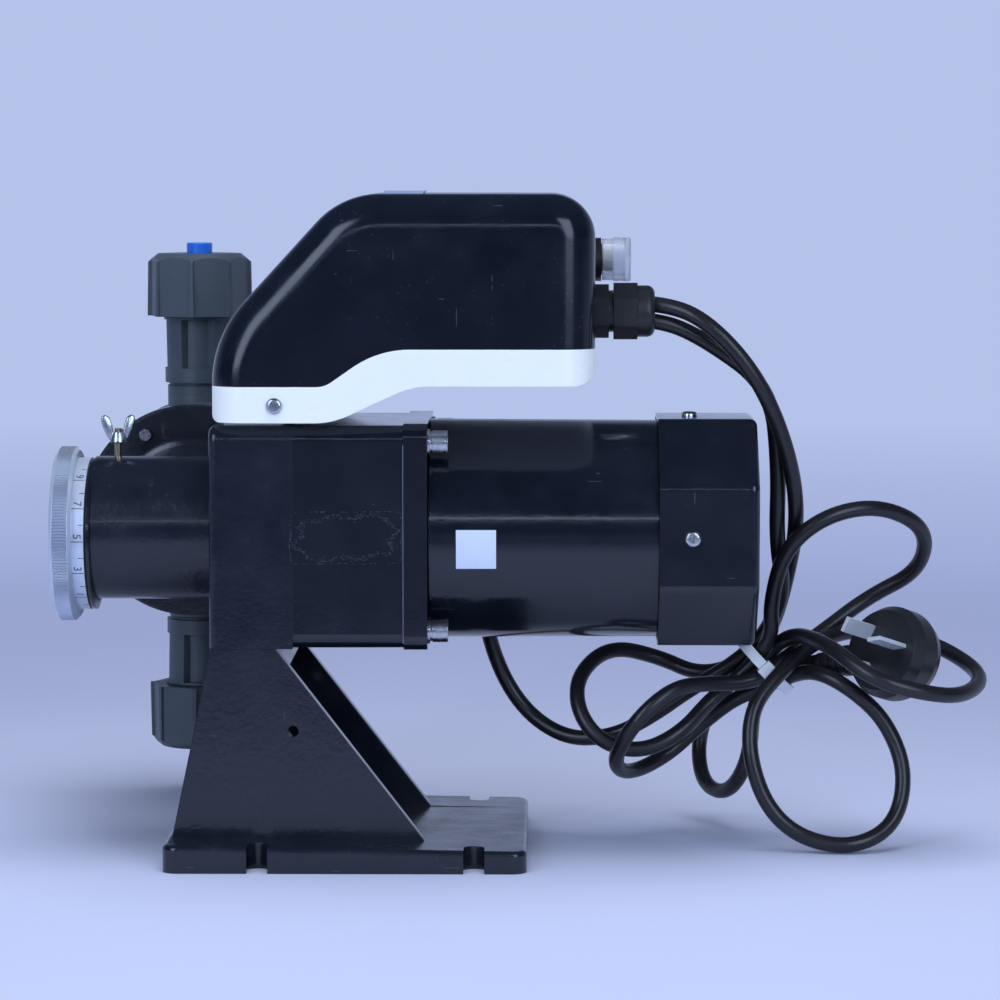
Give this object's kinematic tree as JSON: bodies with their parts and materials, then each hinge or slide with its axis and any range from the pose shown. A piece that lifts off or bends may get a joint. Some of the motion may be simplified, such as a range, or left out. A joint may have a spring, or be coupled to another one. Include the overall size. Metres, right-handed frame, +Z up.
{
  "type": "diaphragm metering pump",
  "caption": "Motor-driven diaphragm metering pump with a stroke dial, a valved plastic head, a control box and a tied mains cable.",
  "frame": {"origin": "middle of the base plate's underside", "axes": "+X along the motor towards its fan, +Y towards the liquid end, +Z up"},
  "size_m": [0.3849, 0.223, 0.2706],
  "materials": {
    "black_enamel": "gloss enamel",
    "steel": "ground",
    "zinc": "zinc plated",
    "brass": "turned",
    "dial_aluminium": "turned and knurled",
    "bronze": "sintered",
    "grey_pvc": "moulded",
    "rubber": "matt",
    "ball_ceramic": "polished",
    "blue_plastic": "moulded",
    "black_plastic": "moulded",
    "white_plastic": "moulded",
    "clear_plastic": "clear",
    "board": "coated board",
    "lamination": "stacked sheet",
    "copper": "enamelled wire",
    "cable_sheath": "smooth sheath",
    "white_nylon": "nylon"
  },
  "bodies": {
    "frame": {"stand": "black_enamel", "stand_screws": "zinc", "drive_housing": "black_enamel", "end_collar": "black_enamel", "dial_retaining_ring": "steel", "lock_stud": "brass", "rod_guide": "bronze", "rod_seal": "rubber", "diaphragm": "rubber", "pump_head": "grey_pvc", "head_bolts": "zinc", "suction_valve": "grey_pvc", "discharge_valve": "grey_pvc", "valve_seats": "grey_pvc", "valve_o_rings": "rubber", "suction_union_nut": "grey_pvc", "discharge_union_nut": "grey_pvc", "gear_case": "black_enamel", "gearbox_bearings": "steel", "rotor_bearings": "steel", "front_shield": "black_enamel", "flange_screws": "zinc", "motor_body": "black_enamel", "motor_grommet": "rubber", "stator_core": "lamination", "stator_windings": "copper", "rear_shield": "black_enamel", "fan_cover": "black_enamel", "pan_head_screws": "zinc", "box_base": "white_plastic", "box_cover": "black_plastic", "control_board": "board", "gland_body": "black_plastic", "gland_nut": "black_plastic", "gland_insert": "rubber", "signal_socket": "black_plastic", "motor_cord": "cable_sheath", "mains_cord": "cable_sheath", "plug_body": "cable_sheath", "plug_pins": "zinc", "cable_tie": "white_nylon"},
    "rotor": {"rotor_core": "lamination", "rotor_shaft": "steel", "cooling_fan": "black_plastic"},
    "layshaft": {"layshaft_gear": "steel"},
    "output_shaft": {"drive_shaft": "steel", "output_gear": "steel"},
    "wedge": {"wedge_core": "steel"},
    "eccentric_ring": {"eccentric": "steel", "eccentric_bearing": "steel"},
    "dial": {"scale_dial": "dial_aluminium"},
    "adjuster": {"adjusting_screw": "steel"},
    "wing_nut": {"lock_wing_nut": "zinc"},
    "plunger": {"push_rod": "steel", "support_disc": "steel", "return_spring": "steel"},
    "suction_check": {"suction_ball": "ball_ceramic"},
    "discharge_check": {"discharge_ball": "ball_ceramic"},
    "outlet_cap": {"outlet_plug": "blue_plastic"},
    "signal_cap": {"socket_cap": "clear_plastic"}
  },
  "joints": [
    {"name": "rotor_spin", "type": "hinge", "parent": "frame", "child": "rotor", "pos_m": [0.08, 0, 0.1326], "axis": [1, 0, 0], "continuous": true},
    {"name": "layshaft_spin", "type": "hinge", "parent": "frame", "child": "layshaft", "pos_m": [0, 0, 0.1551], "axis": [1, 0, 0], "continuous": true},
    {"name": "output_spin", "type": "hinge", "parent": "frame", "child": "output_shaft", "pos_m": [-0.04, 0, 0.1326], "axis": [1, 0, 0], "continuous": true},
    {"name": "dial_turn", "type": "hinge", "parent": "frame", "child": "dial", "pos_m": [-0.115, 0, 0.1301], "axis": [1, 0, 0], "range_deg": [-60, 60]},
    {"name": "adjuster_slide", "type": "slide", "parent": "frame", "child": "adjuster", "axis": [1, 0, 0], "range_m": [-0.00125, 0.00125]},
    {"name": "wedge_slide", "type": "slide", "parent": "output_shaft", "child": "wedge", "axis": [1, 0, 0], "range_m": [-0.00125, 0.00125]},
    {"name": "eccentric_shift", "type": "slide", "parent": "output_shaft", "child": "eccentric_ring", "axis": [0, -1, 0], "range_m": [-0.00125, 0.00125]},
    {"name": "rod_stroke", "type": "slide", "parent": "frame", "child": "plunger", "axis": [0, 1, 0], "range_m": [0, 0.005], "stiffness_N_per_m": 1500, "springref_m": -0.002, "deforming": ["return_spring", "diaphragm"]},
    {"name": "lock_turn", "type": "hinge", "parent": "frame", "child": "wing_nut", "pos_m": [-0.0962, 0, 0.17], "axis": [0, 0, 1], "range_deg": [-90, 360]},
    {"name": "suction_lift", "type": "slide", "parent": "frame", "child": "suction_check", "axis": [0, 0, 1], "range_m": [0, 0.003]},
    {"name": "discharge_lift", "type": "slide", "parent": "frame", "child": "discharge_check", "axis": [0, 0, 1], "range_m": [0, 0.003]},
    {"name": "outlet_plug_pull", "type": "slide", "parent": "frame", "child": "outlet_cap", "axis": [0, 0, 1], "range_m": [0, 0.03]},
    {"name": "signal_cap_pull", "type": "slide", "parent": "frame", "child": "signal_cap", "axis": [1, 0, 0], "range_m": [0, 0.02]}
  ],
  "couplings": [
    {"joint": "layshaft_spin", "follows": "rotor_spin", "ratio": -0.2766},
    {"joint": "output_spin", "follows": "rotor_spin", "ratio": 0.076505},
    {"joint": "adjuster_slide", "follows": "dial_turn", "m_per_rad": 0.0011937},
    {"joint": "wedge_slide", "follows": "dial_turn", "m_per_rad": 0.0011937},
    {"joint": "eccentric_shift", "follows": "dial_turn", "m_per_rad": 0.0011937}
  ]
}
